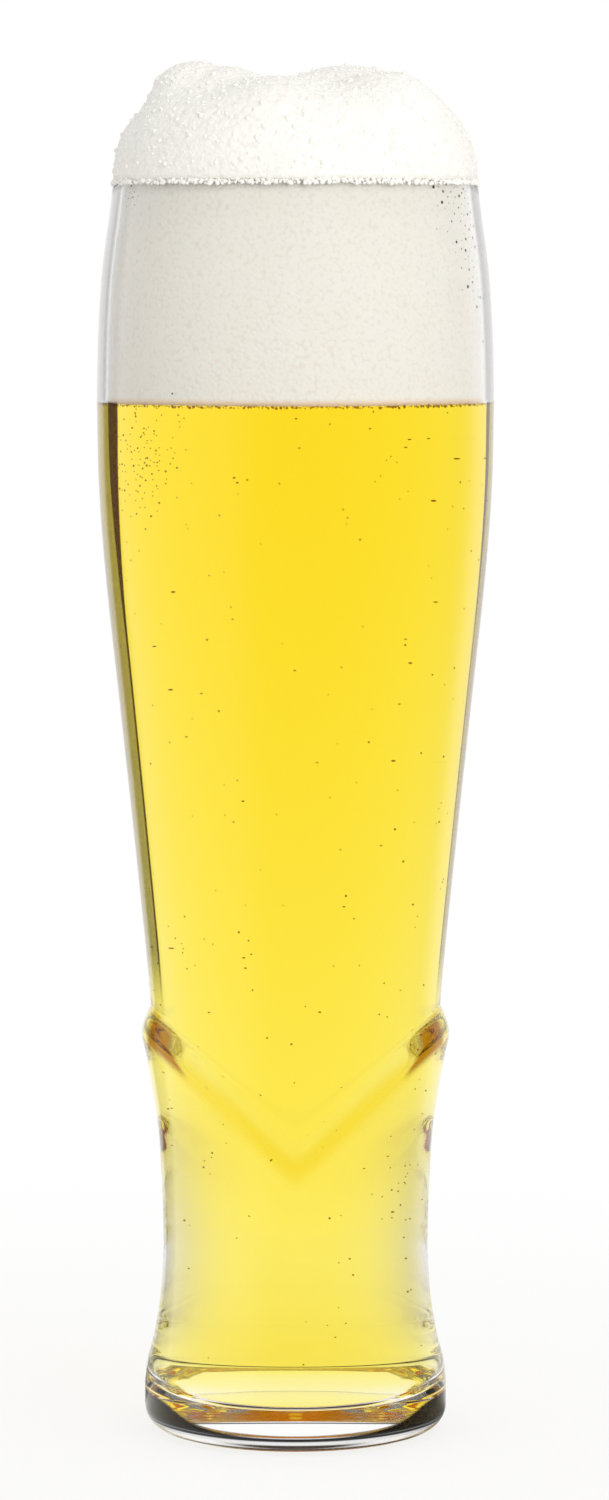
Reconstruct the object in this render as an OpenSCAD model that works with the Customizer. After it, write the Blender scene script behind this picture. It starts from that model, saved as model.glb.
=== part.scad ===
// Half-litre weizen glass, filled, with its head of foam.
// Millimetres. The origin is the centre of the ring that the glass rests on, +Z is up,
// and -Y is the side that shows the low point of the chevron.

/* [Glass] */
// Height from the table to the top of the rim
glass_h = 240; // [225:1:250]
// Outside radius at the rim
rim_r = 34.6; // [33:0.1:36.5]
// How far the belly stands out past the rim
belly_out = 3.3; // [2:0.1:5]
// Distance from the rim down to the widest place of the belly
belly_drop = 42; // [34:1:52]
// Smallest outside radius, at the waist
waist_r = 25.5; // [24:0.1:27]
// Height of the waist
waist_z = 36; // [32:1:40]
// Largest outside radius of the foot
foot_r = 29.1; // [28:0.1:31]
// Height of the widest place of the foot
foot_z = 9; // [8:0.5:11]
// Radius of the round between the side of the foot and its underside
foot_round = 4.7; // [4:0.1:6]

/* [Wall] */
// Thickness of the wall at the rim
rim_wall = 2; // [1.6:0.1:2.4]
// Thickness of the wall from the waist down
waist_wall = 7; // [5.5:0.1:8]
// How quickly the wall thins above the waist, where 1 is an even taper up to the rim
wall_fall = 7; // [4:0.5:9]
// Height of the inside floor where its round ends
floor_z = 7; // [6:0.5:9]
// How much higher the inside floor is at its middle
floor_rise = 1.8; // [0:0.1:2.4]
// Radius of the round between the inside floor and the wall
floor_round = 4.4; // [3:0.1:6]
// Width of the flat ring that stands on the table
rest_ring_w = 2.4; // [1.6:0.1:3.2]
// Depth of the hollow under the foot
punt_depth = 1.8; // [1:0.1:2.4]

/* [Chevron] */
// Height of the chevron's crest at its low points, front and back
chevron_low_z = 54.5; // [50:0.5:58]
// Height of the chevron's crest at its high points, left and right
chevron_high_z = 77; // [72:0.5:80]
// How far the crest stands out of the wall
chevron_out = 2.1; // [1.2:0.1:2.4]
// Height of the quick rise above the crest
chevron_rise_h = 5.6; // [4.5:0.1:7]
// Height of the slow fade below the crest
chevron_fade_h = 20; // [16:0.5:22]
// How sharply the legs bend over at the high points
chevron_bend = 1.25; // [1.1:0.05:1.4]

/* [Drink] */
// Depth of the foam inside the glass, from the rim down to the beer
head_depth = 42; // [20:1:60]
// Height of the foam's highest lobe above the rim
crown_h = 22.8; // [18:0.1:26]
// Gap between what fills the glass and its wall
fill_gap = 0.05; // [0.04:0.01:0.2]

/* [Hidden] */

// Facets round a turned surface, and spacing of the points along its outline
turn_fn = 96;
line_step = 4;
arc_steps = 8;
overrun = 2;

// Outline of the foot above its widest place: share of the way up to the waist,
// share of the way in to the waist's radius
foot_shares = [[0, 0], [0.16, 0.13], [0.27, 0.36], [0.38, 0.54], [0.6, 0.81], [0.8, 0.94], [1, 1]];
// Outline from the waist up to the belly: share of the height, share of the growth in radius
body_shares = [[0, 0], [0.08, 0.03], [0.29, 0.194], [0.47, 0.421], [0.65, 0.67], [0.79, 0.865],
               [0.9, 0.972], [1, 1]];
// Outline from the belly up to the rim: share of the height, share of the way in
neck_shares = [[0, 0], [0.29, 0.08], [0.56, 0.29], [0.7, 0.5], [0.83, 0.735], [1, 1]];

// Smooth curve through points: the cubic between neighbours i and i + 1, with slopes taken
// from the points on either side
function slope(pts, i) =
    let(a = pts[max(i - 1, 0)], b = pts[min(i + 1, len(pts) - 1)]) (b[1] - a[1]) / (b[0] - a[0]);
function span_at(pts, x, i = 0) = i >= len(pts) - 2 || x < pts[i + 1][0] ? i : span_at(pts, x, i + 1);
function smooth(pts, x) =
    let(i = span_at(pts, x), a = pts[i], b = pts[i + 1], w = b[0] - a[0], t = (x - a[0]) / w,
        t2 = t * t, t3 = t2 * t)
    (2 * t3 - 3 * t2 + 1) * a[1] + (t3 - 2 * t2 + t) * w * slope(pts, i)
    + (3 * t2 - 2 * t3) * b[1] + (t3 - t2) * w * slope(pts, i + 1);

belly_r = rim_r + belly_out;
belly_z = glass_h - belly_drop;
beer_z = glass_h - head_depth;

// Stretches of the outline, in millimetres: [height, radius]
function stretch(shares, z0, z1, r0, r1) =
    [for (s = shares) [z0 + s[0] * (z1 - z0), r0 + s[1] * (r1 - r0)]];
foot_line = stretch(foot_shares, foot_z, waist_z, foot_r, waist_r);
body_line = stretch(body_shares, waist_z, belly_z, waist_r, belly_r);
neck_line = stretch(neck_shares, belly_z, glass_h, belly_r, rim_r);

// Outside radius of the plain glass at a height
function outer_r(z) =
    z < waist_z ? smooth(foot_line, max(z, foot_z))
    : z < belly_z ? smooth(body_line, z)
    : smooth(neck_line, min(z, glass_h));
// Wall thickness at a height: thin from the rim down, and thick close above the waist and below it
function wall(z) =
    rim_wall + (waist_wall - rim_wall) * pow(min(1, (glass_h - z) / (glass_h - waist_z)), wall_fall);
function inner_r(z) = outer_r(z) - wall(z);

// Heights at which a line between two heights is given a point
function heights(z0, z1) =
    let(n = ceil((z1 - z0) / line_step)) [for (i = [0 : n]) z0 + (z1 - z0) * i / n];
// Part of a circle about a centre, between two angles, as [radius, height]
function arc(centre, r, from, to, n) =
    [for (i = [0 : n]) let(a = from + (to - from) * i / n) centre + r * [cos(a), sin(a)]];

// Outside of the glass: out along the underside, round the foot and up to the rim
rest_r = foot_r - foot_round;
foot_side = arc([rest_r, foot_round], foot_round, -90, 0, arc_steps);
outer_points = concat(foot_side, [for (z = heights(foot_z, glass_h - rim_wall / 2)) [outer_r(z), z]]);
// The rim is nearly half a circle, from the outside over to the inside
rim_turn = 20;
rim_points = arc([rim_r - rim_wall / 2, glass_h - rim_wall / 2], rim_wall / 2, rim_turn, 180 - rim_turn,
                 arc_steps);
// Inside of the glass, from the middle of the domed floor up to the level given, drawn in by a gap
function inside_points(top_z, gap) =
    let(round_z = floor_z + floor_round, edge_r = inner_r(round_z), floor_r = edge_r - floor_round)
    concat([for (i = [0 : arc_steps - 1])
            let(s = i / arc_steps) [floor_r * s, floor_z + gap + floor_rise * (1 - s * s)]],
           arc([floor_r, round_z], floor_round - gap, -90, 0, arc_steps),
           [for (z = heights(round_z + line_step / 2, top_z)) [inner_r(z) - gap, z]]);

// The chevron is a raised line that runs round the wall, low at the front and back, high at
// the sides. Its section is given downwards from its upper edge: share of the rise or of the
// fade, share of the height above the wall.
rise_shares = [[1, -0.07], [0.76, 0.24], [0.56, 0.5], [0.34, 0.76], [0.15, 0.93], [0, 1]];
fade_shares = [[0.08, 0.97], [0.2, 0.78], [0.4, 0.55], [0.65, 0.3], [1, -0.07]];
// Depth to which the line is rooted in the wall, and how far its ends run on below the surface
root_depth = 0.7;
root_run_share = 0.12;
// How blunt the low points are, as a share of the width of a leg
blunt_share = 0.05;
chevron_stations = 96;

// Height of the crest at an angle round the glass
function crest_z(a) =
    let(lean = (sqrt(pow(sin(a - 90), 2) + pow(blunt_share, 2)) - blunt_share)
               / (sqrt(1 + pow(blunt_share, 2)) - blunt_share))
    chevron_high_z - (chevron_high_z - chevron_low_z) * pow(1 - lean, chevron_bend);
// One section of the chevron: [height above or below the crest, height above the wall]
section = concat(
    [[chevron_rise_h * (1 + root_run_share), -root_depth]],
    [for (s = rise_shares) [chevron_rise_h * s[0], chevron_out * s[1]]],
    [for (s = fade_shares) [-chevron_fade_h * s[0], chevron_out * s[1]]],
    [[-chevron_fade_h * (1 + root_run_share), -root_depth], [-chevron_fade_h / 2, -root_depth]]);
function chevron_point(a, s) =
    let(z = crest_z(a) + s[0], r = outer_r(z) + s[1]) [r * cos(a), r * sin(a), z];

module chevron() {
    n = len(section);
    points = [for (i = [0 : chevron_stations - 1]) for (s = section)
              chevron_point(360 * i / chevron_stations, s)];
    faces = [for (i = [0 : chevron_stations - 1]) for (j = [0 : n - 1])
             let(i2 = (i + 1) % chevron_stations, j2 = (j + 1) % n)
             each [[i * n + j, i2 * n + j, i2 * n + j2], [i * n + j, i2 * n + j2, i * n + j2]]];
    polyhedron(points = points, faces = faces, convexity = 6);
}

// Glass that fills the outside outline, before the inside and the underside are cut from it
module glass_blank() {
    rotate_extrude($fn = turn_fn)
        polygon(concat([[0, 0]], outer_points, rim_points,
                       [[0, glass_h - rim_wall / 2]]));
}

module glass_hollow() {
    rotate_extrude($fn = turn_fn)
        polygon(concat(inside_points(glass_h - rim_wall / 2, 0),
                       [[inner_r(glass_h), glass_h + overrun], [0, glass_h + overrun]]));
}

// The hollow under the foot is a shallow dome inside the ring that stands on the table
module punt() {
    ring_r = rest_r - rest_ring_w;
    dome_r = (ring_r * ring_r + punt_depth * punt_depth) / (2 * punt_depth);
    intersection() {
        translate([0, 0, punt_depth - dome_r]) sphere(r = dome_r, $fn = turn_fn);
        translate([0, 0, -overrun]) cylinder(r = ring_r, h = overrun + punt_depth, $fn = turn_fn);
    }
}

module glass() {
    color([0.9, 0.95, 0.96, 0.5])
        difference() {
            union() {
                glass_blank();
                chevron();
            }
            glass_hollow();
            punt();
        }
}

module beer() {
    color([0.98, 0.78, 0.1])
        rotate_extrude($fn = turn_fn)
            polygon(concat(inside_points(beer_z, fill_gap), [[0, beer_z]]));
}

// The foam inside the glass follows the wall, and its crown spreads over the rim
crown_z = glass_h + fill_gap;
// Height of the crown between its lobes, as a share of its full height
dome_share = 0.86;
// How square the shoulder of the crown is, across and upwards: 1 and 1 would be half an ellipse
shoulder_powers = [0.78, 0.6];
shoulder_steps = 12;
// Lobes that swell out of the crown: shares of the rim's radius to the right and to the back,
// share of it in size, and share of the crown's height at the lobe's top
lobe_shares = [[-0.58, -0.08, 0.25, 1], [-0.4, -0.16, 0.32, 0.965], [0.29, 0.03, 0.55, 0.985],
               [-0.1, -0.5, 0.42, 0.86], [-0.06, 0.46, 0.46, 0.87], [0.5, -0.38, 0.36, 0.91],
               [0.4, 0.42, 0.4, 0.93], [-0.45, 0.38, 0.36, 0.92]];

module crown() {
    dome_h = crown_h * dome_share;
    rotate_extrude($fn = turn_fn)
        polygon(concat([[0, crown_z]],
                       [for (i = [0 : shoulder_steps])
                        let(a = 90 * i / shoulder_steps)
                        [rim_r * pow(cos(a), shoulder_powers[0]),
                         crown_z + dome_h * pow(sin(a), shoulder_powers[1])]]));
    for (s = lobe_shares)
        let(r = rim_r * s[2])
        translate([rim_r * s[0], rim_r * s[1], crown_z + crown_h * s[3] - r])
            sphere(r = r, $fn = turn_fn / 2);
}

module foam_head() {
    top_z = crown_z + crown_h * dome_share / 2;
    color([0.99, 0.98, 0.94])
        union() {
            rotate_extrude($fn = turn_fn)
                polygon(concat([[0, beer_z]],
                               [for (z = heights(beer_z, glass_h)) [inner_r(z) - fill_gap, z]],
                               [[inner_r(glass_h) - fill_gap, top_z], [0, top_z]]));
            crown();
        }
}

glass();
beer();
foam_head();
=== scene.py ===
import math

import bpy
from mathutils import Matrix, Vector, noise


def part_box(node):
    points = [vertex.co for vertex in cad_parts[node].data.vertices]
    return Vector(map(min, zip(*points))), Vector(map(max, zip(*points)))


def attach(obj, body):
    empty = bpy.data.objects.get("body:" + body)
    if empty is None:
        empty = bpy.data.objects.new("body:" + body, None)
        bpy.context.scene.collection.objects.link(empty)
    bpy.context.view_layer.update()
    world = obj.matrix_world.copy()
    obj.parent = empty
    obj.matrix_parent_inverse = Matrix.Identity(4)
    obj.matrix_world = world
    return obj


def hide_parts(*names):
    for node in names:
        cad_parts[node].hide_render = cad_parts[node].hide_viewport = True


# A half-litre wheat beer glass, full, under a high head of foam.
# Metres, +Z up, the camera on the -Y side, the origin on the table under the middle of the glass.

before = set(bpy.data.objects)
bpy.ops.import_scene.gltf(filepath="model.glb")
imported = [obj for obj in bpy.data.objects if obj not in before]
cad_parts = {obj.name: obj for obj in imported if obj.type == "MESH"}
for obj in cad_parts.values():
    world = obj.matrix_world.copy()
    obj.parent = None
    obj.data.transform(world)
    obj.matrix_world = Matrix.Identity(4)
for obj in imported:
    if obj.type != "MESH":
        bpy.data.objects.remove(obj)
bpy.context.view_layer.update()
print("frame loaded:", ", ".join(sorted(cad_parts)))


# Shared helpers

def linearColour(hexText):
    # sRGB hex, such as "F4E8C8", to linear RGBA
    levels = [int(hexText[i:i + 2], 16) / 255 for i in (0, 2, 4)]
    return tuple(c / 12.92 if c <= 0.04045 else ((c + 0.055) / 1.055) ** 2.4 for c in levels) + (1.0,)


def addNode(tree, kind, inputs=None, **settings):
    # inputs maps a socket's name or number to a value, or to the output socket that feeds it
    node = tree.nodes.new(kind)
    for name, value in settings.items():
        setattr(node, name, value)
    for name, value in (inputs or {}).items():
        if isinstance(value, bpy.types.NodeSocket):
            tree.links.new(value, node.inputs[name])
        else:
            node.inputs[name].default_value = value
    return node


def newMaterial(name):
    material = bpy.data.materials.new(name)
    material.use_nodes = True
    material.node_tree.nodes.clear()
    return material, material.node_tree


def slopeAt(points, i):
    before, after = points[max(i - 1, 0)], points[min(i + 1, len(points) - 1)]
    return (after[1] - before[1]) / (after[0] - before[0])


def smoothCurve(points, x):
    # cubic through the points, with slopes from the points on either side
    i = 0
    while i < len(points) - 2 and x >= points[i + 1][0]:
        i += 1
    (x0, y0), (x1, y1) = points[i], points[i + 1]
    width = x1 - x0
    t = (x - x0) / width
    return ((2 * t ** 3 - 3 * t ** 2 + 1) * y0 + (t ** 3 - 2 * t ** 2 + t) * width * slopeAt(points, i)
            + (3 * t ** 2 - 2 * t ** 3) * y1 + (t ** 3 - t ** 2) * width * slopeAt(points, i + 1))


def blendStep(low, high, x):
    t = min(1, max(0, (x - low) / (high - low)))
    return t * t * (3 - 2 * t)


def spread(start, end, step):
    # evenly spaced values from start to end, both included
    count = max(1, math.ceil(abs(end - start) / step - 1e-6))
    return [start + (end - start) * i / count for i in range(count + 1)]


def turnedObject(name, rows, segments, pointAt=None):
    # rows are (radius, height, slot), out from the lower pole and back to the last one;
    # pointAt may move a point: it gets the row's radius and height, and the angle
    points, faces, slots, rings = [], [], [], []
    for radius, height, slot in rows:
        if radius < 1e-7:
            rings.append([len(points)] * segments)
            points.append((0, 0, height))
            continue
        rings.append(range(len(points), len(points) + segments))
        for j in range(segments):
            angle = 2 * math.pi * j / segments
            r, z = pointAt(radius, height, angle) if pointAt else (radius, height)
            points.append((r * math.cos(angle), r * math.sin(angle), z))
    for (lower, upper), row in zip(zip(rings, rings[1:]), rows[1:]):
        for j in range(segments):
            k = (j + 1) % segments
            corners = [lower[j], lower[k], upper[k], upper[j]]
            faces.append(list(dict.fromkeys(corners)))
            slots.append(row[2])
    mesh = bpy.data.meshes.new(name)
    mesh.from_pydata(points, [], faces)
    mesh.polygons.foreach_set("material_index", slots)
    mesh.shade_smooth()
    mesh.validate()
    piece = bpy.data.objects.new(name, mesh)
    bpy.context.scene.collection.objects.link(piece)
    return piece


# Camera: a long lens a little under the rim's height, as in the photograph

cameraView = {
    "place": (0.00172, -1.104, 0.227),
    "tiltDown": 4.955,  # degrees below the horizon
    "lens": 138.7,
}


def makeCamera(view):
    camera = bpy.data.cameras.new("camera")
    camera.lens = view["lens"]
    camera.clip_start = 0.01
    holder = bpy.data.objects.new("camera", camera)
    holder.location = view["place"]
    holder.rotation_euler = (math.radians(90 - view["tiltDown"]), 0, 0)
    bpy.context.scene.collection.objects.link(holder)
    bpy.context.scene.camera = holder


# Glass

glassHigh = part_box("glass")[1]
beerLow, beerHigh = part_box("beer")
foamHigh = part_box("foam_head")[1]

glassShape = {
    "height": glassHigh.z,
    "rimRadius": 0.0346,
    "bellyRadius": 0.0379,
    "bellyHeight": 0.198,
    "waistRadius": 0.0255,
    "waistHeight": 0.036,
    "footRadius": 0.0291,
    "footHeight": 0.009,
    "footRound": 0.0047,
    "rimWall": 0.002,
    "waistWall": 0.007,
    "wallPower": 7.0,    # how quickly the wall thins above the waist
    "floorRise": 0.0018,  # how much higher the inside floor is at its middle
    "floorRound": 0.0044,
    "restRingWidth": 0.0024,
    "puntDepth": 0.0018,
    "fillGap": 0.00005,  # between what fills the glass and its wall
    "beerLevel": beerHigh.z,
    "segments": 240,
    "step": 0.0022,      # between rows along the plain wall
    "reliefStep": 0.00045,
    "footStep": 0.0012,
    "puntStep": 0.0011,
}
glassShape["floorHeight"] = beerLow.z - glassShape["fillGap"]

# Outlines as shares: height, then the share of the way from one radius to the next
footShares = [(0, 0), (0.16, 0.13), (0.27, 0.36), (0.38, 0.54), (0.6, 0.81), (0.8, 0.94), (1, 1)]
bodyShares = [(0, 0), (0.08, 0.03), (0.29, 0.194), (0.47, 0.421), (0.65, 0.67), (0.79, 0.865),
              (0.9, 0.972), (1, 1)]
neckShares = [(0, 0), (0.29, 0.08), (0.56, 0.29), (0.7, 0.5), (0.83, 0.735), (1, 1)]

# The chevron: its crest is low at the front and back and high at the sides
chevron = {
    "lowHeight": 0.0545,
    "highHeight": 0.077,
    "out": 0.0021,
    "riseHeight": 0.0056,
    "fadeHeight": 0.02,
    "bend": 1.25,
    "blunt": 0.05,
    "blur": (0.0046, 0.0006),  # fire polishing rounds the lines over this height, at low and high points
    "blurBelow": 0.0055,       # and over this much more where the relief fades out below
    "blurBelowStart": (0.005, 0.016),  # below the crest
    "blurTries": 7,            # heights on either side that are averaged
}
riseShares = [(0, 1), (0.15, 0.93), (0.34, 0.76), (0.56, 0.5), (0.76, 0.24), (1, -0.07)]
fadeShares = [(0.08, 0.97), (0.2, 0.78), (0.4, 0.55), (0.65, 0.3), (1, -0.07)]


def outlineStretch(shares, z0, z1, r0, r1):
    return [(z0 + s * (z1 - z0), r0 + t * (r1 - r0)) for s, t in shares]


footLine = outlineStretch(footShares, glassShape["footHeight"], glassShape["waistHeight"],
                          glassShape["footRadius"], glassShape["waistRadius"])
bodyLine = outlineStretch(bodyShares, glassShape["waistHeight"], glassShape["bellyHeight"],
                          glassShape["waistRadius"], glassShape["bellyRadius"])
neckLine = outlineStretch(neckShares, glassShape["bellyHeight"], glassShape["height"],
                          glassShape["bellyRadius"], glassShape["rimRadius"])
reliefLine = ([(-chevron["fadeHeight"] * s, t) for s, t in reversed(fadeShares)]
              + [(chevron["riseHeight"] * s, t) for s, t in riseShares])


def outerRadius(z):
    if z < glassShape["waistHeight"]:
        return smoothCurve(footLine, max(z, glassShape["footHeight"]))
    if z < glassShape["bellyHeight"]:
        return smoothCurve(bodyLine, z)
    return smoothCurve(neckLine, min(z, glassShape["height"]))


def innerRadius(z):
    shape = glassShape
    share = min(1, max(0, shape["height"] - z) / (shape["height"] - shape["waistHeight"]))
    thicker = (shape["waistWall"] - shape["rimWall"]) * share ** shape["wallPower"]
    return outerRadius(z) - shape["rimWall"] - thicker


def chevronLean(angle):
    # 0 at the low points, front and back, and 1 at the high points at the sides
    blunt = chevron["blunt"]
    return (math.sqrt(math.cos(angle) ** 2 + blunt ** 2) - blunt) / (math.sqrt(1 + blunt ** 2) - blunt)


def crestHeight(angle):
    drop = chevron["highHeight"] - chevron["lowHeight"]
    return chevron["highHeight"] - drop * max(0, 1 - chevronLean(angle)) ** chevron["bend"]


def reliefHeight(angle, z):
    # how far the chevron stands out of the wall at a place, averaged over a few heights
    crest = crestHeight(angle)
    low, high = chevron["blur"]
    blur = low + (high - low) * chevronLean(angle)
    blur += chevron["blurBelow"] * blendStep(*chevron["blurBelowStart"], crest - z)
    tries = chevron["blurTries"]
    total = weights = 0
    for i in range(-tries, tries + 1):
        weight = math.cos(i * math.pi / (2 * tries + 2)) ** 2
        above = z - crest + i / tries * blur
        weights += weight
        if reliefLine[0][0] < above < reliefLine[-1][0]:
            total += weight * max(0, smoothCurve(reliefLine, above))
    return chevron["out"] * total / weights


def insideRows(topHeight, gap, slot):
    # rows of the inside wall and floor, from a level down to the middle of the floor
    edgeHeight = glassShape["floorHeight"] + glassShape["floorRound"]
    roundRadius = glassShape["floorRound"] - gap
    centre = innerRadius(edgeHeight) - glassShape["floorRound"]
    rows = [(innerRadius(z) - gap, z, slot) for z in spread(topHeight, edgeHeight, glassShape["step"])]
    for degrees in spread(0, 90, 6)[1:]:
        a = math.radians(degrees)
        rows.append((centre + roundRadius * math.cos(a), edgeHeight - roundRadius * math.sin(a), slot))
    rows += [(centre * share, edgeHeight - roundRadius + glassShape["floorRise"] * (1 - share ** 2), slot)
             for share in spread(0.95, 0, 0.05)]
    return rows


def glassRows():
    shape = glassShape
    dry, wet = 0, 1
    ringRadius = shape["footRadius"] - shape["footRound"] - shape["restRingWidth"]
    domeRadius = (ringRadius ** 2 + shape["puntDepth"] ** 2) / (2 * shape["puntDepth"])
    rows = []
    for r in spread(0, ringRadius, shape["puntStep"]):  # the hollow under the foot
        rows.append((r, shape["puntDepth"] - domeRadius + math.sqrt(domeRadius ** 2 - r ** 2), dry))
    restRadius = shape["footRadius"] - shape["footRound"]
    rows.append((restRadius - shape["restRingWidth"] / 2, 0, dry))
    for degrees in spread(-90, 0, 5):
        a = math.radians(degrees)
        rows.append((restRadius + shape["footRound"] * math.cos(a),
                     shape["footRound"] * (1 + math.sin(a)), dry))
    reliefLow = chevron["lowHeight"] - chevron["fadeHeight"]
    reliefHigh = chevron["highHeight"] + chevron["riseHeight"]
    rimCentre = shape["height"] - shape["rimWall"] / 2
    heights = (spread(shape["footHeight"], reliefLow, shape["footStep"])
               + spread(reliefLow, reliefHigh, shape["reliefStep"])[1:]
               + spread(reliefHigh, rimCentre, shape["step"])[1:])
    rows += [(outerRadius(z), z, dry) for z in heights]
    for degrees in spread(0, 180, 15)[1:-1]:
        a = math.radians(degrees)
        rows.append((shape["rimRadius"] - shape["rimWall"] / 2 * (1 - math.cos(a)),
                     rimCentre + shape["rimWall"] / 2 * math.sin(a), dry))
    rows += [(innerRadius(z), z, dry) for z in spread(rimCentre, shape["beerLevel"], shape["step"])[:-1]]
    inside = insideRows(shape["beerLevel"], 0, wet)
    inside[0] = inside[0][:2] + (dry,)
    return rows + inside


def withRelief(radius, height, angle):
    # only the outside wall carries the relief
    if abs(radius - outerRadius(height)) < 1e-6:
        radius += reliefHeight(angle, height)
    return radius, height


def clearThrough(tree, shader):
    # lamp light goes straight through, so that it reaches the foam, the beer and the table
    path = addNode(tree, "ShaderNodeLightPath")
    through = addNode(tree, "ShaderNodeBsdfTransparent")
    return addNode(tree, "ShaderNodeMixShader", {0: path.outputs["Is Shadow Ray"],
                                                 1: shader.outputs[0], 2: through.outputs[0]})


# The tints below are painted shade on the glass, and at the waist a painted reflection: they stand in
# for the dark and pale edges that refraction and reflection give a full glass. Those named Seen depend on the
# viewing angle: they lie at the edges in a level view, but from well above they slide over the front of the
# glass.
glassLook = {
    "clear": "FFFFFF",
    "mirror": "A8A8A8",      # how much of the room shows on a wall that is seen straight on
    "shadeBand": "180900",        # painted shade: a dark band beside the beer
    "outerShade": "73748C",       # painted shade: grey outside the band
    "bandSeen": (0.613, 0.758),  # on the left and on the right; 0 is seen straight on, 1 edge on
    "bandWidth": ((0.014, 0.058), (0.010, 0.034)),  # half widths on each side, low down and high up
    "bandSoft": 0.012,
    "bandHeights": (0.150, 0.197),
    "edgeLow": (0.080, 0.094),   # the edge colours fade in over these heights
    "levelSoft": 0.0006,         # height over which the tints change at the beer's level
    "sideSoft": 0.002,           # and width over which left changes to right
    "lumpShade": "8C4C00",        # painted shade: amber on the chevron's high ends
    "lumpAngles": (14, 19, 41, 47),  # degrees from the side: fades in and out again over these
    "lumpHeights": (-0.0024, -0.0004, 0.0036, 0.0054),  # above the crest
    "lumpSeen": (0.26, 0.36),
    "ridgeShade": "F6EA8C",       # painted shade: yellow on the chevron's low front, and not on its back
    "ridgeAngles": (30, 46),     # degrees from the side, over which it fades in
    "ridgeHeights": (-0.0046, -0.0008, 0.0006, 0.0036),
    "waist": "DCDCFF",       # painted reflection: bluish grey on the thick waist's sides, by viewing angle
    "waistSeen": (0.06, 0.5),
    "waistHeights": (0.014, 0.024, 0.052, 0.072),
    "dryEdgeShade": "918E8B",     # painted shade on the wall's own edge beside the foam
    "dryEdgeSeen": (0.66, 0.74),
    "footShade": "040404",    # painted shade: the foot's dark wedges and curves
    "footSeen": (0.04, 0.16),
    "footLow": (0.0016, 0.0034),
    "footTop": (0.0030, 0.0082),  # from its middle to its sides, where the dark is tallest
    "footTopSeen": (0.05, 0.62),
    "footSoft": 0.0006,
    "footLines": ((0.0023, 0.0027, 0.0031, 0.0035), (0.0005, 0.0007, 0.0009, 0.0012)),
}


def ramp(tree, value, start, end, low=0.0, high=1.0):
    # soft step of a socket's value from low to high
    return addNode(tree, "ShaderNodeMapRange", {"Value": value, "From Min": start, "From Max": end,
                                                "To Min": low, "To Max": high},
                   interpolation_type="SMOOTHSTEP").outputs["Result"]


def combine(tree, operation, a, b):
    return addNode(tree, "ShaderNodeMath", {0: a, 1: b}, operation=operation).outputs[0]


def mixColours(tree, share, a, b):
    # a and b are sRGB hex or a socket
    mix = addNode(tree, "ShaderNodeMix", {"Factor": share}, data_type="RGBA")
    for slot, colour in ((6, a), (7, b)):
        if isinstance(colour, str):
            mix.inputs[slot].default_value = linearColour(colour)
        else:
            tree.links.new(colour, mix.inputs[slot])
    return mix.outputs[2]


def hill(tree, value, rise, full, fall, end):
    # up from 0 to 1 and down again
    return combine(tree, "MULTIPLY", ramp(tree, value, rise, full), ramp(tree, value, fall, end, 1.0, 0.0))


def paintedBandShares(tree, facing, height, middle, widths):
    # shares of the painted shade band itself and of the painted grey outside it, towards the silhouette
    soft = glassLook["bandSoft"]
    width = ramp(tree, height, *glassLook["bandHeights"], *widths)
    off = combine(tree, "SUBTRACT", facing, middle)
    inside = combine(tree, "SUBTRACT", combine(tree, "ABSOLUTE", off, 0.0), width)
    inside = ramp(tree, inside, -soft / 2, soft / 2, 1.0, 0.0)
    return inside, ramp(tree, off, -soft / 2, soft / 2)


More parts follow.
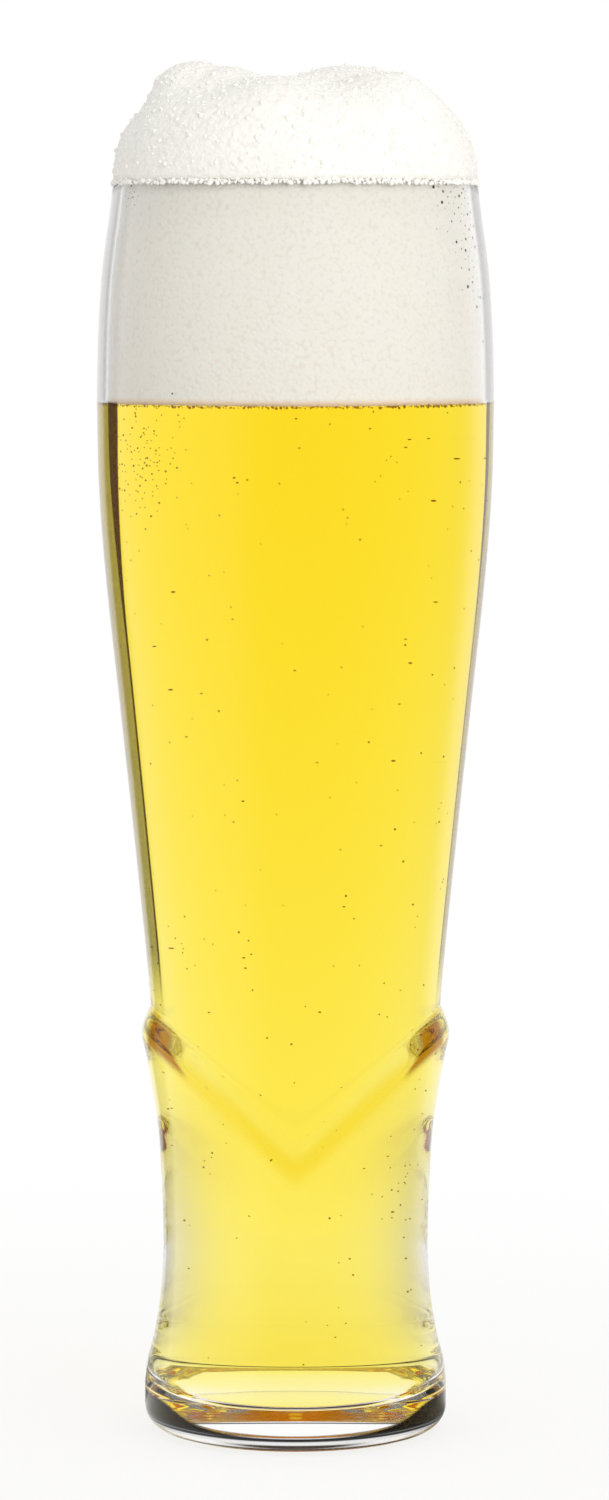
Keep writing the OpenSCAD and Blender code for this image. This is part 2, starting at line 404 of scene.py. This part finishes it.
def paintedEdgeShade(tree):
    # painted shade by facing and height: a dark band and grey beside the beer, grey beside the foam, dark
    # wedges in the foot and amber and yellow on the chevron, and a bluish waist as painted reflection;
    # the band is placed apart on the left and on the right
    look = glassLook
    level = glassShape["beerLevel"]
    facing = addNode(tree, "ShaderNodeLayerWeight", {"Blend": 0.5}).outputs["Facing"]
    place = addNode(tree, "ShaderNodeTexCoord")
    parts = addNode(tree, "ShaderNodeSeparateXYZ", {0: place.outputs["Object"]})
    height = parts.outputs["Z"]
    onRight = ramp(tree, parts.outputs["X"], -look["sideSoft"], look["sideSoft"])
    leftBand, leftOuter = paintedBandShares(tree, facing, height, look["bandSeen"][0], look["bandWidth"][0])
    rightBand, rightOuter = paintedBandShares(tree, facing, height, look["bandSeen"][1], look["bandWidth"][1])
    # painted shade: the dark band and the grey outside it, placed apart on the left and on the right
    shadeBand = addNode(tree, "ShaderNodeMix", {"Factor": onRight, "A": leftBand, "B": rightBand}).outputs[0]
    outerShade = addNode(tree, "ShaderNodeMix", {"Factor": onRight, "A": leftOuter, "B": rightOuter}).outputs[0]
    beside = combine(tree, "MULTIPLY", ramp(tree, height, *look["edgeLow"]),
                     ramp(tree, height, level, level + look["levelSoft"], 1.0, 0.0))
    edge = mixColours(tree, combine(tree, "MULTIPLY", outerShade, beside), look["clear"], look["outerShade"])
    edge = mixColours(tree, combine(tree, "MULTIPLY", shadeBand, beside), edge, look["shadeBand"])
    # painted shade: grey at the wall's edge beside the foam
    dry = combine(tree, "MULTIPLY", ramp(tree, facing, *look["dryEdgeSeen"]),
                  ramp(tree, height, level, level + look["levelSoft"]))
    edge = mixColours(tree, dry, edge, look["dryEdgeShade"])
    # painted reflection: a bluish grey on the waist's sides
    waist = combine(tree, "MULTIPLY", ramp(tree, facing, *look["waistSeen"]),
                    hill(tree, height, *look["waistHeights"]))
    edge = mixColours(tree, waist, edge, look["waist"])
    # painted shade: dark wedges in the foot, tallest at its sides
    below = combine(tree, "SUBTRACT", height, ramp(tree, facing, *look["footTopSeen"], *look["footTop"]))
    footShadeShare = combine(tree, "MULTIPLY", ramp(tree, below, -look["footSoft"], look["footSoft"], 1.0, 0.0),
                   ramp(tree, height, *look["footLow"]))
    footShadeShare = combine(tree, "MULTIPLY", footShadeShare, ramp(tree, facing, *look["footSeen"]))
    for line in look["footLines"]:  # painted shade: dark curves round the foot's lower edge
        footShadeShare = combine(tree, "MAXIMUM", footShadeShare, hill(tree, height, *line))
    edge = mixColours(tree, footShadeShare, edge, look["footShade"])
    # painted shade: yellow on the chevron's low front
    ridgeShade = addNode(tree, "ShaderNodeAttribute", attribute_name="ridgeShade").outputs["Fac"]
    edge = mixColours(tree, ridgeShade, edge, look["ridgeShade"])
    # painted shade: amber on the chevron's high ends, by viewing angle
    lumpShade = addNode(tree, "ShaderNodeAttribute", attribute_name="lumpShade").outputs["Fac"]
    lumpShade = combine(tree, "MULTIPLY", lumpShade, ramp(tree, facing, *look["lumpSeen"]))
    return mixColours(tree, lumpShade, edge, look["lumpShade"])


def glassMaterial(name, ior, withPaintedShade):
    # Soda-lime glass, pressed and fire polished: clear and glossy. Where asked, it also carries painted
    # shade and a painted reflection at the edges, which light alone didn't give here
    material, tree = newMaterial(name)
    shader = addNode(tree, "ShaderNodeBsdfPrincipled", {
        "Base Color": paintedEdgeShade(tree) if withPaintedShade else linearColour(glassLook["clear"]), "Roughness": 0.0,
        "IOR": ior, "Specular Tint": linearColour(glassLook["mirror"]), "Transmission Weight": 1.0})
    out = clearThrough(tree, shader)
    addNode(tree, "ShaderNodeOutputMaterial", {"Surface": out.outputs[0]})
    return material


def window(x, rise, full, fall, end):
    return blendStep(rise, full, x) * (1 - blendStep(fall, end, x))


def markChevronShade(mesh):
    # marks the chevron's swelling high ends and its low front, where the glass gets painted shade
    lumps, ridges = [], []
    for corner in mesh.vertices:
        x, y, z = corner.co
        lumpShade = ridgeShade = 0
        if math.hypot(x, y) > outerRadius(z) - 0.0005:
            fromSide = abs(math.degrees(math.atan2(abs(y), abs(x))))
            above = z - crestHeight(math.atan2(y, x))
            lumpShade = window(fromSide, *glassLook["lumpAngles"]) * window(above, *glassLook["lumpHeights"])
            if y < 0:
                ridgeShade = blendStep(*glassLook["ridgeAngles"], fromSide)
                ridgeShade *= window(above, *glassLook["ridgeHeights"])
        lumps.append(lumpShade)
        ridges.append(ridgeShade)
    mesh.attributes.new("lumpShade", "FLOAT", "POINT").data.foreach_set("value", lumps)
    mesh.attributes.new("ridgeShade", "FLOAT", "POINT").data.foreach_set("value", ridges)


def makeGlass():
    piece = turnedObject("glass_wall", glassRows(), glassShape["segments"], withRelief)
    markChevronShade(piece.data)
    piece.data.materials.append(glassMaterial("sodaLimeGlassPolished", 1.52, True))
    # where beer wets the wall, light goes from glass (1.52) to beer (1.34)
    piece.data.materials.append(glassMaterial("sodaLimeGlassWet", 1.134, False))
    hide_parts("glass")
    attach(piece, "root")
    print("glass:", len(piece.data.polygons), "faces")


# Beer

beerLook = {
    "absorption": "FFF600",  # what a little beer lets through
    "depth": 56.0,           # per metre
}


def beerMaterial():
    # Filtered wheat beer: clear golden yellow that deepens with the length of light's way
    material, tree = newMaterial("wheatBeerClear")
    shader = addNode(tree, "ShaderNodeBsdfPrincipled", {
        "Base Color": linearColour("FFFFFF"), "Roughness": 0.0, "IOR": 1.0, "Transmission Weight": 1.0})
    out = clearThrough(tree, shader)
    volume = addNode(tree, "ShaderNodeVolumeAbsorption", {
        "Color": linearColour(beerLook["absorption"]), "Density": beerLook["depth"]})
    addNode(tree, "ShaderNodeOutputMaterial", {"Surface": out.outputs[0], "Volume": volume.outputs[0]})
    return material


def makeBeer():
    rows = insideRows(glassShape["beerLevel"], glassShape["fillGap"], 0)[::-1]
    topRadius = rows[-1][0]
    rows += [(topRadius * share, glassShape["beerLevel"], 0) for share in (0.75, 0.5, 0.25, 0)]
    piece = turnedObject("beer_body", rows, glassShape["segments"])
    piece.data.materials.append(beerMaterial())
    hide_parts("beer")
    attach(piece, "root")
    print("beer:", len(piece.data.polygons), "faces")


# Foam

foamShape = {
    "domeShare": 0.86,             # height between the lobes, as a share of the crown's height
    "shoulderPowers": (0.78, 0.6),
    "blend": 0.0016,               # how softly the lobes run into each other
    "swell": 0.0005,               # broad unevenness
    "swellSize": 0.009,
    "froth": 0.00022,              # grain of the froth on the crown
    "frothSize": 0.0016,
    "finer": (0.6, 2.1),           # a finer grain on top: its share, and how much finer
    "grow": 0.35,                  # elevation over which the unevenness grows in from the rim
    "segments": 384,
}
# Lobes: shares of the rim's radius to the right, to the back and in size, share of the crown's height
lobeShares = [(-0.58, -0.08, 0.25, 1), (-0.4, -0.16, 0.32, 0.965), (0.29, 0.03, 0.55, 0.985),
              (-0.1, -0.5, 0.42, 0.86), (-0.06, 0.46, 0.46, 0.87), (0.5, -0.38, 0.36, 0.91),
              (0.4, 0.42, 0.4, 0.93), (-0.45, 0.38, 0.36, 0.92)]
crownBase = glassShape["height"] + glassShape["fillGap"]
crownHeight = foamHigh.z - crownBase


def domeReach(elevation):
    # distance from the middle of the rim to the dome in a direction above the horizon
    low, high = 0.0, math.pi / 2
    across, upward = foamShape["shoulderPowers"]
    for _ in range(30):
        a = (low + high) / 2
        r = glassShape["rimRadius"] * math.cos(a) ** across
        z = crownHeight * foamShape["domeShare"] * math.sin(a) ** upward
        if math.atan2(z, r) < elevation:
            low = a
        else:
            high = a
    return math.hypot(r, z)


def lobeReach(direction, lobe):
    x, y, size, top = lobe
    radius = glassShape["rimRadius"] * size
    centre = Vector((glassShape["rimRadius"] * x, glassShape["rimRadius"] * y, crownHeight * top - radius))
    along = direction.dot(centre)
    inside = along ** 2 - centre.length_squared + radius ** 2
    return along + math.sqrt(inside) if inside > 0 else 0


def crownPoint(dome, elevation, angle):
    # the outermost of dome and lobes, softly joined, with the froth's unevenness on top
    direction = Vector((math.cos(angle) * math.cos(elevation), math.sin(angle) * math.cos(elevation),
                        math.sin(elevation)))
    reaches = [dome] + [lobeReach(direction, lobe) for lobe in lobeShares]
    soft = foamShape["blend"]
    most = max(reaches)
    grow = blendStep(0, foamShape["grow"], elevation)
    reach = most + soft * math.log(sum(math.exp((r - most) / soft) for r in reaches)) - soft * 0.7 * grow
    place = direction * most
    reach += foamShape["swell"] * noise.noise(place / foamShape["swellSize"]) * grow
    share, finer = foamShape["finer"]
    grain = (noise.noise(place / foamShape["frothSize"])
             + share * noise.noise(place * finer / foamShape["frothSize"]))
    reach += foamShape["froth"] * grain * (0.3 + 0.7 * grow)
    return direction * reach


def makeFoam():
    segments = foamShape["segments"]
    gap = glassShape["fillGap"]
    base = glassShape["beerLevel"] + gap
    top = glassShape["height"]
    rows = [(innerRadius(base) * share, base, 0) for share in (0, 0.3, 0.6, 0.9)]
    rows += [(innerRadius(z) - gap, z, 0) for z in spread(base, top, 0.0009)]
    elevations = [math.radians(90) * (i / 90) ** 0.9 for i in range(91)]
    domes = [domeReach(e) for e in elevations]
    # the crown's rows have a radius that marks them, and their elevation's number for a height
    crownMark = glassShape["rimRadius"] * 2
    rows += [(crownMark, i, 0) for i in range(len(elevations) - 1)]
    rows.append((0, crownBase + crownPoint(domes[-1], elevations[-1], 0).z, 0))

    def foamPoint(radius, height, angle):
        if radius < crownMark:
            return radius, height
        point = crownPoint(domes[height], elevations[height], angle)
        return math.hypot(point.x, point.y), crownBase + point.z

    piece = turnedObject("foam_body", rows, segments, foamPoint)
    piece.data.materials.append(foamMaterial())
    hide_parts("foam_head")
    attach(piece, "root")
    print("foam:", len(piece.data.polygons), "faces")


foamLook = {
    "inside": ("FFFAEC", "FFFDF4"),  # behind the glass: from, to; painted light makes it lighter, for the light the glass takes
    # the crown: greyer partly for its coarser froth, partly painted shade where it gets the most light
    "crown": ("EEEBE4", "F4F2ED"),
    "soaked": "F4CFA0",              # the lowest foam, wet with beer
    "soakedHeight": 0.0016,
    "cellScale": 1400.0,             # cells of 0.7 mm, coarser than most of the real foam so that they show
    "coarseScale": 850.0,            # cells of 1.2 mm, the crown's larger bubbles
    "coarseShare": (0.4, 1.5),       # how much of them there is, inside and on the crown
    "between": ("F9F2E5", "E9E6E0"),  # painted shade between the bubbles, inside and on the crown
    "betweenStart": (0.5, 0.95),
    "mottleScale": 120.0,
    "crownSoft": 0.0005,             # above and below the rim, inside changes to crown
    "bump": 0.5,
    "bumpDepth": 0.0002,
}


def foamMaterial():
    # Wheat beer foam: dense, matte and creamy inside, drier and coarser on the crown. The crown is
    # greyer partly for its coarser froth and partly as painted light: the foam inside the glass is brightened
    # for the light the glass takes, and the crown darkened where it gets the most light
    look = foamLook
    material, tree = newMaterial("wheatBeerFoam")
    place = addNode(tree, "ShaderNodeTexCoord").outputs["Object"]
    height = addNode(tree, "ShaderNodeSeparateXYZ", {0: place}).outputs["Z"]
    fine = addNode(tree, "ShaderNodeTexVoronoi", {"Vector": place, "Scale": look["cellScale"]})
    coarse = addNode(tree, "ShaderNodeTexVoronoi", {"Vector": place, "Scale": look["coarseScale"]})
    soft = addNode(tree, "ShaderNodeTexNoise", {"Vector": place, "Scale": look["mottleScale"], "Detail": 3.0})
    level = glassShape["beerLevel"]
    crownStart = (crownBase - look["crownSoft"], crownBase + look["crownSoft"])
    onCrown = ramp(tree, height, *crownStart)
    # inside and crown are a lit and a shaded copy of the foam: partly painted light
    inside = mixColours(tree, soft.outputs[0], *look["inside"])
    # painted shade in the grooves between the bubbles
    inside = mixColours(tree, ramp(tree, fine.outputs["Distance"], *look["betweenStart"]), inside,
                        look["between"][0])
    soaked = ramp(tree, height, level, level + look["soakedHeight"], 0.9, 0.0)
    inside = mixColours(tree, soaked, inside, look["soaked"])
    crown = mixColours(tree, soft.outputs[0], *look["crown"])
    crown = mixColours(tree, ramp(tree, coarse.outputs["Distance"], *look["betweenStart"]), crown,
                       look["between"][1])
    bubbles = combine(tree, "ADD", fine.outputs["Distance"],
                      combine(tree, "MULTIPLY", coarse.outputs["Distance"],
                              ramp(tree, height, *crownStart, *look["coarseShare"])))
    bump = addNode(tree, "ShaderNodeBump", {"Height": bubbles, "Strength": look["bump"],
                                            "Distance": look["bumpDepth"]}, invert=True)
    shader = addNode(tree, "ShaderNodeBsdfPrincipled", {
        "Base Color": mixColours(tree, onCrown, inside, crown), "Roughness": 0.75, "IOR": 1.34,
        "Normal": bump.outputs[0]})
    addNode(tree, "ShaderNodeOutputMaterial", {"Surface": shader.outputs[0]})
    return material


# Bubbles: grown on surfaces whose points say how densely they sit there

bubbleGroups = {
    "beer_bubbles": {     # on the wall, and a few deeper in
        "slot": "wheat_beer",
        "perArea": 9000.0,    # bubbles on a square metre
        "apart": 0.0006,
        "small": 0.00014,
        "large": 0.00026,
        "depth": 0.003,       # as deep as this below the surface they grow on
        "seed": 12,
        "heights": (0.013, glassShape["beerLevel"] - 0.0006),
        "step": 0.0015,
        "inset": 0.0004,      # from the wall inwards
        "everywhere": 1.0,
        # places where they gather: middle, half width and half height, times as many
        "gather": [((-0.0285, -0.021, 0.188), 0.0105, 0.0115, 90),
                   ((-0.0157, -0.0148, 0.051), 0.0012, 0.011, 60),
                   ((0.0187, -0.008, 0.050), 0.002, 0.009, 30),
                   ((0.018, -0.029, 0.186), 0.006, 0.008, 6)],
    },
    "line_bubbles": {     # a ring of fine bubbles where the beer meets the foam
        "slot": "wheat_beer",
        "perArea": 7.0e6,
        "apart": 0.0,
        "small": 0.00012,
        "large": 0.00034,
        "depth": 0.0004,
        "seed": 11,
        "heights": (glassShape["beerLevel"] - 0.0004, glassShape["beerLevel"] + 0.0001),
        "step": 0.0005,
        "inset": 0.0002,
        "everywhere": 1.0,
        "gather": [],
    },
    "wall_hole_shade": {     # dark beads: painted shade for open bubbles in the foam against the glass
        "slot": "beer_foam",
        "perArea": 1500.0,
        "apart": 0.0012,
        "small": 0.00030,
        "large": 0.00048,
        "depth": 0.00002,
        "seed": 7,
        "heights": (glassShape["beerLevel"] + 0.001, glassShape["height"] - 0.0012),
        "step": 0.0015,
        "inset": 0.00027,
        "everywhere": 0.1,
        "gather": [((0.0300, -0.0150, 0.2365), 0.0070, 0.0045, 1600),
                   ((0.0320, -0.0135, 0.228), 0.0050, 0.010, 900),
                   ((0.0345, -0.0110, 0.218), 0.0040, 0.011, 500),
                   ((-0.0300, -0.0140, 0.2365), 0.0035, 0.0020, 1500)],
    },
    "froth_bubbles": {    # single bubbles that stand out of the crown
        "slot": "beer_foam",
        "perArea": 480000.0,
        "apart": 0.0,
        "small": 0.00018,
        "large": 0.00062,
        "depth": 0.00025,
        "seed": 2,
        "elevations": (2, 88, 1.5),  # degrees: from, to and step
        "segments": 180,
        "everywhere": 1.0,
        "gather": [],
    },
    "rim_bubbles": {      # froth that has crept over the rim
        "slot": "beer_foam",
        "perArea": 6.5e6,
        "apart": 0.0,
        "small": 0.0002,
        "large": 0.0006,
        "depth": 0.0002,
        "seed": 9,
        "curve": (0.0012, 0.0009),  # its radius, and how far its centre is below the rim
        "everywhere": 1.0,
        "gather": [],
    },
}


def bubbleTree():
    tree = bpy.data.node_groups.new("bubbles", "GeometryNodeTree")
    tree.interface.new_socket("Geometry", in_out="OUTPUT", socket_type="NodeSocketGeometry")
    tree.interface.new_socket("Geometry", in_out="INPUT", socket_type="NodeSocketGeometry")
    for label in ("perArea", "apart", "small", "large", "depth"):
        tree.interface.new_socket(label, in_out="INPUT", socket_type="NodeSocketFloat")
    tree.interface.new_socket("seed", in_out="INPUT", socket_type="NodeSocketInt")
    tree.interface.new_socket("material", in_out="INPUT", socket_type="NodeSocketMaterial")
    given = addNode(tree, "NodeGroupInput").outputs
    share = addNode(tree, "GeometryNodeInputNamedAttribute", {"Name": "share"}, data_type="FLOAT")
    spots = addNode(tree, "GeometryNodeDistributePointsOnFaces", {
        "Mesh": given["Geometry"], "Density": combine(tree, "MULTIPLY", share.outputs[0], given["perArea"]),
        "Seed": given["seed"]})
    deep = addNode(tree, "FunctionNodeRandomValue", {2: 0.0, 3: 1.0, 8: given["seed"]})
    deep = combine(tree, "MULTIPLY", combine(tree, "POWER", deep.outputs[1], 2.0), given["depth"])
    inward = addNode(tree, "ShaderNodeVectorMath", {0: spots.outputs["Normal"],
                                                    "Scale": combine(tree, "MULTIPLY", deep, -1.0)},
                     operation="SCALE")
    placed = addNode(tree, "GeometryNodeMergeByDistance", {"Geometry": spots.outputs["Points"],
                                                           "Distance": given["apart"]})
    placed = addNode(tree, "GeometryNodeSetPosition", {"Geometry": placed.outputs[0],
                                                       "Offset": inward.outputs[0]})
    # most bubbles are small
    size = addNode(tree, "FunctionNodeRandomValue", {2: 0.0, 3: 1.0,
                                                     8: combine(tree, "ADD", given["seed"], 1.0)})
    size = combine(tree, "POWER", size.outputs[1], 3.0)
    size = combine(tree, "MULTIPLY", size, combine(tree, "SUBTRACT", given["large"], given["small"]))
    size = combine(tree, "ADD", size, given["small"])
    ball = addNode(tree, "GeometryNodeMeshIcoSphere", {"Radius": 1.0, "Subdivisions": 1})
    balls = addNode(tree, "GeometryNodeInstanceOnPoints", {
        "Points": placed.outputs[0], "Instance": ball.outputs[0], "Rotation": spots.outputs["Rotation"],
        "Scale": size})
    real = addNode(tree, "GeometryNodeRealizeInstances", {0: balls.outputs[0]})
    real = addNode(tree, "GeometryNodeSetMaterial", {"Geometry": real.outputs[0],
                                                     "Material": given["material"]})
    addNode(tree, "NodeGroupOutput", {0: real.outputs[0]})
    return tree


def gathering(place, group):
    share = group["everywhere"]
    for middle, halfWidth, halfHeight, times in group["gather"]:
        across = math.hypot(place.x - middle[0], place.y - middle[1]) / halfWidth
        upward = (place.z - middle[2]) / halfHeight
        share += times * math.exp(-2 * (across ** 2 + upward ** 2))
    return share


def growBubbles(name, piece, tree, material):
    # piece is the surface they grow on; the bubbles take its place
    group = bubbleGroups[name]
    shares = [gathering(corner.co, group) for corner in piece.data.vertices]
    piece.data.attributes.new("share", "FLOAT", "POINT").data.foreach_set("value", shares)
    modifier = piece.modifiers.new("grow", "NODES")
    modifier.node_group = tree
    values = dict(group, material=material)
    for item in tree.interface.items_tree:
        if item.in_out == "INPUT" and item.name in values:
            modifier[item.identifier] = values[item.name]
    evaluated = piece.evaluated_get(bpy.context.evaluated_depsgraph_get())
    mesh = bpy.data.meshes.new_from_object(evaluated)
    piece.modifiers.clear()
    piece.data = mesh
    mesh.shade_smooth()
    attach(piece, "root")
    print(name + ":", len(mesh.polygons), "faces")


def bubbleMaterial(name, colour, roughness):
    material, tree = newMaterial(name)
    shader = addNode(tree, "ShaderNodeBsdfPrincipled", {
        "Base Color": linearColour(colour), "Roughness": roughness, "IOR": 1.34})
    addNode(tree, "ShaderNodeOutputMaterial", {"Surface": shader.outputs[0]})
    return material


def makeBubbles():
    tree = bubbleTree()
    # Carbon dioxide bubbles in the beer: so small that little but their edge shows; the amber is painted
    # shade for the dark edge that refraction gives a bubble
    gasShade = bubbleMaterial("bubbleInBeerShade", "B0841A", 0.3)
    # Open bubbles against the glass: matte dark beads, painted shade for the holes in the foam
    holeShade = bubbleMaterial("bubbleHoleShade", "2A2318", 0.5)
    # Single bubbles of froth: white, and shinier than the foam they sit in
    froth = bubbleMaterial("bubbleFroth", "F3F1EB", 0.35)

    for name, material in (("beer_bubbles", gasShade), ("line_bubbles", gasShade), ("wall_hole_shade", holeShade)):
        group = bubbleGroups[name]
        rows = [(innerRadius(z) - group["inset"], z, 0) for z in spread(*group["heights"], group["step"])]
        piece = turnedObject(name, rows, glassShape["segments"])
        growBubbles(name, piece, tree, material)

    group = bubbleGroups["froth_bubbles"]
    elevations = spread(*(math.radians(degrees) for degrees in group["elevations"]))

    def crownPlace(radius, height, angle):
        # height is an elevation's number
        point = crownPoint(domeReach(elevations[height]), elevations[height], angle)
        return math.hypot(point.x, point.y), crownBase + point.z

    rows = [(1, i, 0) for i in range(len(elevations))]
    piece = turnedObject("froth_bubbles", rows, group["segments"], crownPlace)
    growBubbles("froth_bubbles", piece, tree, froth)

    radius, drop = bubbleGroups["rim_bubbles"]["curve"]
    middle = glassShape["rimRadius"] - glassShape["rimWall"] / 2
    rows = [(middle + radius * math.cos(a), glassShape["height"] - drop + radius * math.sin(a), 0)
            for a in (math.radians(degrees) for degrees in (0, 30, 60, 90))]
    piece = turnedObject("rim_bubbles", rows, glassShape["segments"])
    growBubbles("rim_bubbles", piece, tree, froth)


# Stage and light

studio = {
    "fill": 0.86,          # what the room's light gives to matte surfaces
    "ceiling": 0.3,
    "ceilingStart": (0.8, 0.95),  # upward part of the direction, over which the ceiling fades in
    "darkSide": 0.1,       # the room by the camera and to its right, in reflections
    "darkStart": (0.0, 0.5),
    "screen": (-60, -51, -37, -28),  # a dark screen in reflections, degrees to the right of the back
    "screenDepth": 0.85,
    "floorRadius": 6.0,
    "floorDrop": 0.0002,   # just under the glass
    "floorColour": "F4F4F2",
    "shadowStart": 0.05,
    "shadowRadius": 0.35,  # the floor turns from matte to plain white by here
    "shadowShare": 0.25,
    "lampAim": (0, 0, 0.2),
    "softTop": ((0.35, -0.35, 1.3), 0.7, 1.2),  # place, size across and watts
    "softFront": ((0.9, -1.6, 0.6), 1.0, 12.0),
    "bounces": 40,         # thick glass passes light on through many inner reflections
}


def roomSeen(tree, x, y):
    # what a reflection shows of the room in a level direction; 0.7 makes x - y at most about 1
    side = combine(tree, "MULTIPLY", combine(tree, "SUBTRACT", x, y), 0.7)
    level = ramp(tree, side, *studio["darkStart"], 1.0, studio["darkSide"])
    degrees = combine(tree, "MULTIPLY", combine(tree, "ARCTAN2", x, y), 180 / math.pi)
    screen = combine(tree, "MULTIPLY", hill(tree, degrees, *studio["screen"]), studio["screenDepth"])
    return combine(tree, "MULTIPLY", level, combine(tree, "SUBTRACT", 1.0, screen))


def onlyReflected(tree, path):
    # refracted rays count as glossy too, so those are taken out
    glossy = path.outputs["Is Glossy Ray"]
    refracted = combine(tree, "MULTIPLY", glossy, path.outputs["Is Transmission Ray"])
    return combine(tree, "SUBTRACT", glossy, refracted)


def makeFloor():
    rows = [(r, -studio["floorDrop"], 0) for r in (0, 0.1, 0.3, 1.0, studio["floorRadius"])]
    floor = turnedObject("floor", rows, 64)
    floor.data.flip_normals()
    # Matte paper sweep: it keeps the glass's soft shadow close by and turns plain white further out
    material, tree = newMaterial("paperSweep")
    place = addNode(tree, "ShaderNodeTexCoord").outputs["Object"]
    away = addNode(tree, "ShaderNodeVectorMath", {0: place}, operation="LENGTH").outputs["Value"]
    fade = ramp(tree, away, studio["shadowStart"], studio["shadowRadius"], 1 - studio["shadowShare"], 1.0)
    path = addNode(tree, "ShaderNodeLightPath")
    seen = combine(tree, "MAXIMUM", path.outputs["Is Camera Ray"], path.outputs["Is Glossy Ray"])
    seen = combine(tree, "MAXIMUM", seen, path.outputs["Is Transmission Ray"])
    share = combine(tree, "MULTIPLY", seen, fade)
    matte = addNode(tree, "ShaderNodeBsdfDiffuse", {"Color": linearColour(studio["floorColour"])})
    outward = addNode(tree, "ShaderNodeVectorMath", {0: place}, operation="NORMALIZE")
    outward = addNode(tree, "ShaderNodeSeparateXYZ", {0: outward.outputs[0]})
    level = addNode(tree, "ShaderNodeMix", {
        "Factor": onlyReflected(tree, path), "A": 1.0,
        "B": roomSeen(tree, outward.outputs["X"], outward.outputs["Y"])}).outputs[0]
    glow = addNode(tree, "ShaderNodeEmission", {"Color": linearColour("FFFFFF"), "Strength": level})
    mix = addNode(tree, "ShaderNodeMixShader", {0: share, 1: matte.outputs[0], 2: glow.outputs[0]})
    addNode(tree, "ShaderNodeOutputMaterial", {"Surface": mix.outputs[0]})
    floor.data.materials.append(material)


def makeWorld():
    # A room of white paper with a dim ceiling. Reflections also show its dark side and one dark
    # screen; the camera sees plain white, and matte surfaces get an even fill.
    world = bpy.data.worlds.new("studioRoom")
    bpy.context.scene.world = world
    world.use_nodes = True
    tree = world.node_tree
    tree.nodes.clear()

    place = addNode(tree, "ShaderNodeTexCoord")
    parts = addNode(tree, "ShaderNodeSeparateXYZ", {0: place.outputs["Generated"]})
    ceiling = ramp(tree, parts.outputs["Z"], *studio["ceilingStart"], 1.0, studio["ceiling"])
    reflected = combine(tree, "MULTIPLY", ceiling, roomSeen(tree, parts.outputs["X"], parts.outputs["Y"]))
    path = addNode(tree, "ShaderNodeLightPath")
    level = addNode(tree, "ShaderNodeMix", {"Factor": path.outputs["Is Glossy Ray"],
                                            "A": studio["fill"], "B": reflected}).outputs[0]
    level = addNode(tree, "ShaderNodeMix", {"Factor": path.outputs["Is Transmission Ray"],
                                            "A": level, "B": ceiling}).outputs[0]
    level = addNode(tree, "ShaderNodeMix", {"Factor": path.outputs["Is Camera Ray"],
                                            "A": level, "B": 1.0}).outputs[0]
    glow = addNode(tree, "ShaderNodeBackground", {"Color": linearColour("FFFFFF"), "Strength": level})
    addNode(tree, "ShaderNodeOutputWorld", {"Surface": glow.outputs[0]})


def makeLamp(name, place, size, power):
    lamp = bpy.data.lights.new(name, "AREA")
    lamp.shape = "DISK"
    lamp.size = size
    lamp.energy = power
    holder = bpy.data.objects.new(name, lamp)
    holder.location = place
    aim = Vector(studio["lampAim"]) - Vector(place)
    holder.rotation_euler = aim.to_track_quat("-Z", "Y").to_euler()
    holder.visible_glossy = False
    holder.visible_transmission = False
    bpy.context.scene.collection.objects.link(holder)


makeCamera(cameraView)
makeWorld()
makeFloor()
makeLamp("softTop", *studio["softTop"])
makeLamp("softFront", *studio["softFront"])
print("studio ready")
makeGlass()
makeBeer()
makeFoam()
makeBubbles()

bpy.context.scene.view_settings.view_transform = "Standard"
# inner reflections count as glossy, so that limit is raised as well
bpy.context.scene.cycles.max_bounces = studio["bounces"]
bpy.context.scene.cycles.transmission_bounces = studio["bounces"]
bpy.context.scene.cycles.glossy_bounces = studio["bounces"]
